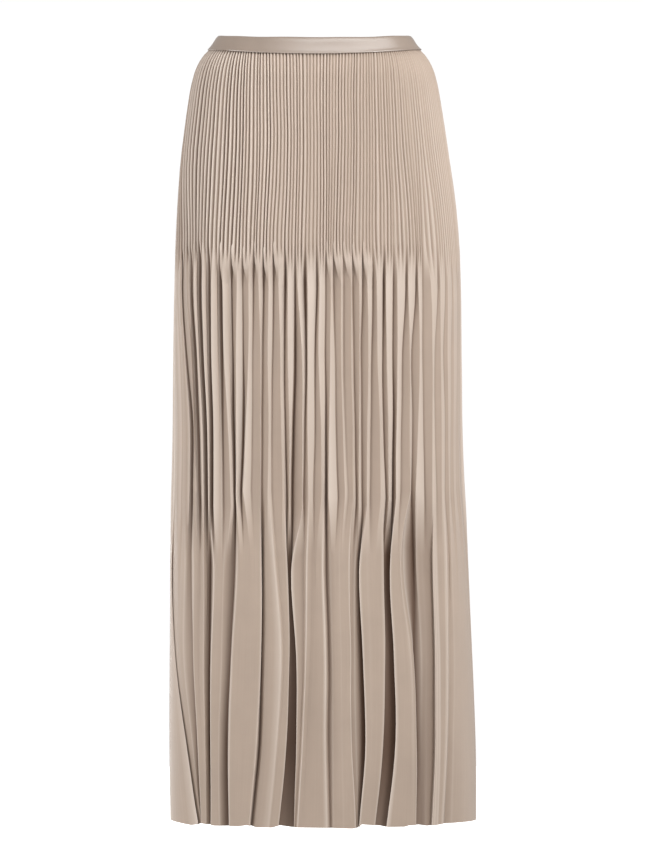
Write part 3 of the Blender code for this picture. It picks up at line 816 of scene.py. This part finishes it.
def grid_piece(name, rows, closed, fields, cloth_size):
    """A sheet of quads through rows of points. A closed one joins its last column to its first.
    `fields` are numbers for each point, and cloth_size the size that its UV map spans."""
    count, across = rows.shape[:2]
    corners = []
    for row in range(count - 1):
        for column in range(across if closed else across - 1):
            right = (column + 1) % across
            corners.append((
                row * across + column, (row + 1) * across + column,
                (row + 1) * across + right, row * across + right,
            ))
    mesh = bpy.data.meshes.new(name)
    mesh.from_pydata(rows.reshape(-1, 3).tolist(), [], corners)
    mesh.update()
    for field, values in fields.items():
        attribute = mesh.attributes.new(field, "FLOAT", "POINT")
        attribute.data.foreach_set("value", values.reshape(-1).astype(np.float32))
    loops = np.empty(len(mesh.loops), np.int32)
    mesh.loops.foreach_get("vertex_index", loops)
    grid = np.stack(np.meshgrid(
        np.linspace(0, cloth_size[0], across), np.linspace(cloth_size[1], 0, count)), axis=-1)
    layer = mesh.uv_layers.new(name="cloth")
    layer.data.foreach_set("uv", grid.reshape(-1, 2)[loops].reshape(-1).astype(np.float32))
    mesh.shade_smooth()
    piece = bpy.data.objects.new(name, mesh)
    bpy.context.collection.objects.link(piece)
    return piece


def give_wall(piece, thickness):
    """Makes a sheet a thin closed shell, thickened inwards."""
    make_active(piece)
    wall = piece.modifiers.new("wall", "SOLIDIFY")
    wall.thickness = thickness
    wall.offset = -1
    wall.use_even_offset = False
    bpy.ops.object.modifier_apply(modifier=wall.name)
    bpy.ops.object.shade_smooth_by_angle(angle=radians(CREASE_ANGLE), keep_sharp_edges=False)


def dress(piece, material, node):
    """Gives a finished sheet its material and ties it to the part."""
    piece.data.materials.clear()
    piece.data.materials.append(material)
    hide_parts(node)
    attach(piece, "root")


# ---------------- materials

class Nodes:
    """Short ways to add and join the nodes of a tree."""

    def __init__(self, tree):
        self.tree = tree

    def add(self, kind, at, settings=None, **values):
        node = self.tree.nodes.new(kind)
        node.location = at
        for key, value in (settings or {}).items():
            setattr(node, key, value)
        return self.fill(node, **values)

    def fill(self, node, **values):
        """Sets a node's own values, each named as its socket with _ for a space."""
        for key, value in values.items():
            node.inputs[key.replace("_", " ")].default_value = value
        return node

    def join(self, output, entry):
        self.tree.links.new(output, entry)

    def math(self, operation, first, second, at):
        """A sum, product and so on of two outputs or numbers."""
        node = self.add("ShaderNodeMath", at, {"operation": operation})
        for entry, value in zip(node.inputs, (first, second)):
            if isinstance(value, (int, float)):
                entry.default_value = value
            else:
                self.join(value, entry)
        return node.outputs[0]

    def mix(self, factor, first, second, at):
        """A colour between two colours."""
        node = self.add("ShaderNodeMix", at, {"data_type": "RGBA"})
        entries = (node.inputs[0], node.inputs[6], node.inputs[7])
        for entry, value in zip(entries, (factor, first, second)):
            if isinstance(value, (int, float)):
                entry.default_value = value
            elif isinstance(value, tuple):
                entry.default_value = (*value, 1.0)[:4]
            else:
                self.join(value, entry)
        return node.outputs[2]


def cloth_group():
    """Node group of a knitted or woven face: fine ribs along the cloth, fine courses across it
    and a slow unevenness. It puts out a mask of the unevenness and a height."""
    name = "cloth_surface"
    if name in bpy.data.node_groups:
        return bpy.data.node_groups[name]
    tree = bpy.data.node_groups.new(name, "ShaderNodeTree")
    for label, way, default in (
        ("Rib spacing", "INPUT", 0.0011), ("Course spacing", "INPUT", 0.0009),
        ("Course share", "INPUT", 0.5), ("Blotch size", "INPUT", 0.04),
        ("Unevenness", "OUTPUT", 0.0), ("Height", "OUTPUT", 0.0),
    ):
        socket = tree.interface.new_socket(name=label, in_out=way, socket_type="NodeSocketFloat")
        socket.default_value = default
    n = Nodes(tree)
    entry = n.add("NodeGroupInput", (-1200, 0))
    leave = n.add("NodeGroupOutput", (600, 0))
    uv = n.add("ShaderNodeUVMap", (-1200, 300), {"uv_map": "cloth"})
    parts = n.add("ShaderNodeSeparateXYZ", (-1000, 300))
    n.join(uv.outputs[0], parts.inputs[0])
    waves = []
    for axis, spacing in enumerate(("Rib spacing", "Course spacing")):
        high = 300 - 200 * axis
        turns = n.math("DIVIDE", parts.outputs[axis], entry.outputs[spacing], (-800, high))
        angle = n.math("MULTIPLY", turns, 2 * pi, (-600, high))
        waves.append(n.math("SINE", angle, 0.0, (-400, high)))
    courses = n.math("MULTIPLY", waves[1], entry.outputs["Course share"], (-200, 100))
    weave = n.math("ADD", waves[0], courses, (0, 200))
    place = n.add("ShaderNodeTexCoord", (-1200, -300))
    size = n.math("DIVIDE", 1.0, entry.outputs["Blotch size"], (-1000, -200))
    blotches = n.add("ShaderNodeTexNoise", (-700, -300), Detail=3.0, Roughness=0.6)
    n.join(place.outputs["Object"], blotches.inputs["Vector"])
    n.join(size, blotches.inputs["Scale"])
    fuzz = n.add("ShaderNodeTexNoise", (-700, -600), Scale=900.0, Detail=2.0)
    n.join(place.outputs["Object"], fuzz.inputs["Vector"])
    rough = n.math("MULTIPLY", fuzz.outputs["Fac"], 0.8, (-400, -500))
    n.join(blotches.outputs["Fac"], leave.inputs["Unevenness"])
    n.join(n.math("ADD", weave, rough, (300, 0)), leave.inputs["Height"])
    return tree


def shaded(name):
    """A new material with its tree's helper and its shader."""
    material = bpy.data.materials.new(name)
    material.use_nodes = True
    return material, Nodes(material.node_tree), material.node_tree.nodes["Principled BSDF"]


def cloth_surface(n, shader, roughness, relief, **values):
    """Places the cloth group with its values, and gives the shader its roughness, from the
    least on and by how much it changes, and its relief."""
    surface = n.add("ShaderNodeGroup", (-1000, -100), {"node_tree": cloth_group()}, **values)
    least, change = roughness
    rough = n.math("MULTIPLY", surface.outputs["Unevenness"], change, (-350, -350))
    n.join(n.math("ADD", rough, least, (-150, -350)), shader.inputs["Roughness"])
    raised = n.add("ShaderNodeBump", (-150, -550), Strength=relief, Distance=0.0001)
    n.join(surface.outputs["Height"], raised.inputs["Height"])
    n.join(raised.outputs["Normal"], shader.inputs["Normal"])
    return surface


def two_tones(colour, change):
    """A darker and a lighter tone of a colour."""
    return (tuple(part * (1 - change) for part in colour),
            tuple(min(1.0, part * (1 + change)) for part in colour))


def jersey_material(colours):
    """The jersey, with faint streaks and a slow unevenness of tone. Painted highlight pales it
    along its crests and lit facets, and painted shade browns it deep in its valleys.
    """
    name = "pleated_jersey"
    if name in bpy.data.materials:
        return bpy.data.materials[name]
    material, n, shader = shaded(name)
    surface = cloth_surface(
        n, shader, (0.47, 0.2), 0.25,
        Rib_spacing=0.0012, Course_spacing=0.0010, Course_share=0.45, Blotch_size=0.05)
    tint = n.math("SUBTRACT", surface.outputs["Unevenness"], 0.5, (-800, -200))
    tint = n.math("MULTIPLY", tint, 0.8, (-650, -200))
    uv = n.add("ShaderNodeUVMap", (-1400, -500), {"uv_map": "cloth"})
    stretched = n.add("ShaderNodeMapping", (-1200, -500), Scale=(700.0, 14.0, 1.0))
    n.join(uv.outputs[0], stretched.inputs["Vector"])
    streaks = n.add("ShaderNodeTexNoise", (-1000, -500), Scale=1.0, Detail=2.0)
    n.join(stretched.outputs[0], streaks.inputs["Vector"])
    streak = n.math("SUBTRACT", streaks.outputs["Fac"], 0.5, (-800, -500))
    streak = n.math("MULTIPLY", streak, 0.5, (-650, -500))
    shift = n.math("ADD", n.math("ADD", tint, streak, (-500, -400)), 0.5, (-500, -200))
    colour = n.mix(shift, *two_tones(colours.jersey, 0.10), (-350, -100))
    # Painted highlight from the 'edge' attribute, and painted shade from the 'valley' attribute
    for mask, most, tone, across, high in (
        ("edge", 0.75, colours.jersey_painted_highlight, -150, 300),
        ("valley", 0.94, colours.jersey_painted_shade, 50, 500),
    ):
        place = n.add("ShaderNodeAttribute", (across - 400, high), {"attribute_name": mask})
        share = n.math("MULTIPLY", place.outputs["Fac"], most, (across - 200, high))
        colour = n.mix(share, colour, tuple(tone), (across, 100))
    n.join(colour, shader.inputs["Base Color"])
    n.fill(shader, Sheen_Weight=0.25, Sheen_Roughness=0.45, Sheen_Tint=(1.0, 0.95, 0.9, 1.0),
           Specular_IOR_Level=0.4)
    return material


def satin_material(colours):
    """The band's satin: finer, smoother and glossier."""
    name = "band_satin"
    if name in bpy.data.materials:
        return bpy.data.materials[name]
    material, n, shader = shaded(name)
    surface = cloth_surface(
        n, shader, (0.32, 0.10), 0.05,
        Rib_spacing=0.0007, Course_spacing=0.0004, Course_share=1.6, Blotch_size=0.03)
    colour = n.mix(surface.outputs["Unevenness"], *two_tones(colours.satin, 0.08), (-350, 100))
    n.join(colour, shader.inputs["Base Color"])
    n.fill(shader, IOR=1.8, Specular_IOR_Level=0.9, Sheen_Weight=0.15, Sheen_Roughness=0.3,
           Anisotropic=0.4)
    return material


def plain_material(name, colour, roughness, glow):
    """A faintly grained plain surface."""
    material, n, shader = shaded(name)
    grain = n.add("ShaderNodeTexNoise", (-500, 0), Scale=30.0, Detail=2.0)
    place = n.add("ShaderNodeTexCoord", (-700, 0))
    n.join(place.outputs["Object"], grain.inputs["Vector"])
    darker = tuple(part * 0.98 for part in colour)
    tone = n.mix(grain.outputs["Fac"], darker, tuple(colour), (-250, 0))
    n.join(tone, shader.inputs["Base Color"])
    n.fill(shader, Roughness=roughness, Emission_Color=(1.0,) * 4, Emission_Strength=glow)
    return material


# ---------------- operators

class SKIRT_OT_panels(bpy.types.Operator):
    """Builds the pleated front and back panels."""

    bl_idname = "skirt.panels"
    bl_label = "Pleated Panels"

    def execute(self, context):
        sizes = context.scene.skirt_sizes
        material = jersey_material(context.scene.skirt_colours)
        for name, node, facing in (
            ("front_jersey", "front_panel", 1), ("back_jersey", "back_panel", -1),
        ):
            rows, edges, valleys = panel_grid(facing, sizes)
            # The 'edge' and 'valley' attributes carry the painted highlight and the painted shade
            piece = grid_piece(name, rows, False, {"edge": edges, "valley": valleys}, PANEL_CUT)
            give_wall(piece, sizes.cloth_thickness)
            dress(piece, material, node)
        return {"FINISHED"}


def band_rows():
    """Points of the band, from the lower edge inside over its top to the one outside."""
    rows = np.zeros((len(BAND_SECTION), BAND_COLUMNS, 3))
    power = 2 / OVAL_POWER
    for column in range(BAND_COLUMNS):
        angle = 2 * pi * column / BAND_COLUMNS
        facing = 1 if angle < pi else -1
        ripple = BAND_RIPPLE * (sin(5 * angle + 0.6) + 0.7 * sin(11 * angle))
        swell = BAND_SWELL * sin(13 * angle + 1.0)
        for row, (share, out) in enumerate(BAND_SECTION):
            half_width, half_depth, _ = outline_at(max(0.0, BAND_HEIGHT_SIDE * (1 - share)))
            x = -half_width * np.sign(cos(angle)) * abs(cos(angle)) ** power
            y = -half_depth * np.sign(sin(angle)) * abs(sin(angle)) ** power
            frontness = abs(y) / half_depth
            top = -WAIST_DIP[facing] * frontness ** 2
            extra = WAIST_DIP[facing] + BAND_HEIGHT[facing] - BAND_HEIGHT_SIDE
            seam = -BAND_HEIGHT_SIDE - extra * frontness ** 2
            normal = np.array([x / half_width ** 2, y / half_depth ** 2])
            normal /= np.hypot(*normal)
            reach = out / 1000 + swell * max(0.0, 1 - abs(share - 0.5) * 2)
            rows[row, column] = (
                x + normal[0] * reach, y + normal[1] * reach,
                seam + (top - seam) * share + ripple * max(share, 0),
            )
    return rows[::-1]


class SKIRT_OT_waistband(bpy.types.Operator):
    """Builds the folded satin waistband."""

    bl_idname = "skirt.waistband"
    bl_label = "Satin Waistband"

    def execute(self, context):
        piece = grid_piece("satin_waistband", band_rows(), True, {}, BAND_CUT)
        give_wall(piece, context.scene.skirt_sizes.satin_thickness)
        dress(piece, satin_material(context.scene.skirt_colours), "waistband")
        return {"FINISHED"}


def area_light(name, azimuth, distance, height, aim, size, power):
    """A soft light: azimuth 0 is in front and 90 at +X. It faces the skirt's axis at height aim."""
    turn = radians(azimuth)
    light = bpy.data.lights.new(name, "AREA")
    light.shape = "RECTANGLE"
    light.size, light.size_y = size
    light.energy = power
    lamp = bpy.data.objects.new(name, light)
    lamp.location = (distance * sin(turn), -distance * cos(turn), height)
    lamp.rotation_euler = (radians(90) + atan2(aim - height, distance), 0, turn)
    lamp.visible_camera = False
    bpy.context.collection.objects.link(lamp)


class SKIRT_OT_studio(bpy.types.Operator):
    """Adds the floor, the soft lights, the pale surroundings and the camera."""

    bl_idname = "skirt.studio"
    bl_label = "Studio"

    def execute(self, context):
        deselect()
        bpy.ops.mesh.primitive_circle_add(
            vertices=96, radius=4.0, fill_type="NGON", location=(0, 0, FLOOR_HEIGHT))
        floor = context.active_object
        floor.name = "studio_floor"
        bpy.ops.object.transform_apply(location=True, rotation=True, scale=True)
        colour = context.scene.skirt_colours.floor
        material = plain_material("pale_floor", tuple(colour), roughness=0.8, glow=0.9)
        floor.data.materials.append(material)
        floor.visible_diffuse = False
        floor.visible_glossy = False
        for name, values in LIGHTS.items():
            area_light(name, *values)
        world = bpy.data.worlds.new("pale_room")
        world.use_nodes = True
        context.scene.world = world
        n = Nodes(world.node_tree)
        ground = world.node_tree.nodes["Background"]
        n.fill(ground, Color=(1.0,) * 4)
        path = n.add("ShaderNodeLightPath", (-500, 0))
        bright = n.math("MULTIPLY", path.outputs["Is Camera Ray"], ROOM_SEEN, (-300, 0))
        n.join(n.math("ADD", bright, ROOM_LIGHT, (-150, 0)), ground.inputs["Strength"])
        camera = bpy.data.cameras.new("photo_camera")
        camera.sensor_width = 36
        camera.lens = camera.sensor_width * CAMERA_DISTANCE / VIEW_HEIGHT
        camera.clip_end = 100
        holder = bpy.data.objects.new("photo_camera", camera)
        holder.location = (CAMERA_X, -CAMERA_DISTANCE, CAMERA_Z)
        holder.rotation_euler = (radians(90), 0, 0)
        context.collection.objects.link(holder)
        context.scene.camera = holder
        context.scene.view_settings.view_transform = "Standard"
        return {"FINISHED"}


class SKIRT_PT_sidebar(bpy.types.Panel):
    """Lists the skirt's settings and the operators of its pieces."""

    bl_idname = "SKIRT_PT_sidebar"
    bl_label = "Pleated Maxi Skirt"
    bl_space_type = "VIEW_3D"
    bl_region_type = "UI"
    bl_category = "Skirt"

    def draw(self, context):
        for settings in (context.scene.skirt_sizes, context.scene.skirt_colours):
            box = self.layout.box()
            for name in settings.__annotations__:
                box.prop(settings, name)
        for operator in OPERATORS:
            self.layout.operator(operator.bl_idname)


OPERATORS = (SKIRT_OT_panels, SKIRT_OT_waistband, SKIRT_OT_studio)
CLASSES = (SkirtSizes, SkirtColours, *OPERATORS, SKIRT_PT_sidebar)


def register():
    """Adds the classes and the scene's settings."""
    for item in CLASSES:
        bpy.utils.register_class(item)
    bpy.types.Scene.skirt_sizes = bpy.props.PointerProperty(type=SkirtSizes)
    bpy.types.Scene.skirt_colours = bpy.props.PointerProperty(type=SkirtColours)


def unregister():
    """Takes them away again."""
    del bpy.types.Scene.skirt_colours
    del bpy.types.Scene.skirt_sizes
    for item in reversed(CLASSES):
        bpy.utils.unregister_class(item)


def main():
    """Builds the skirt and its studio."""
    register()
    deselect()
    bpy.ops.skirt.panels()
    bpy.ops.skirt.waistband()
    bpy.ops.skirt.studio()


if __name__ == "__main__":
    main()
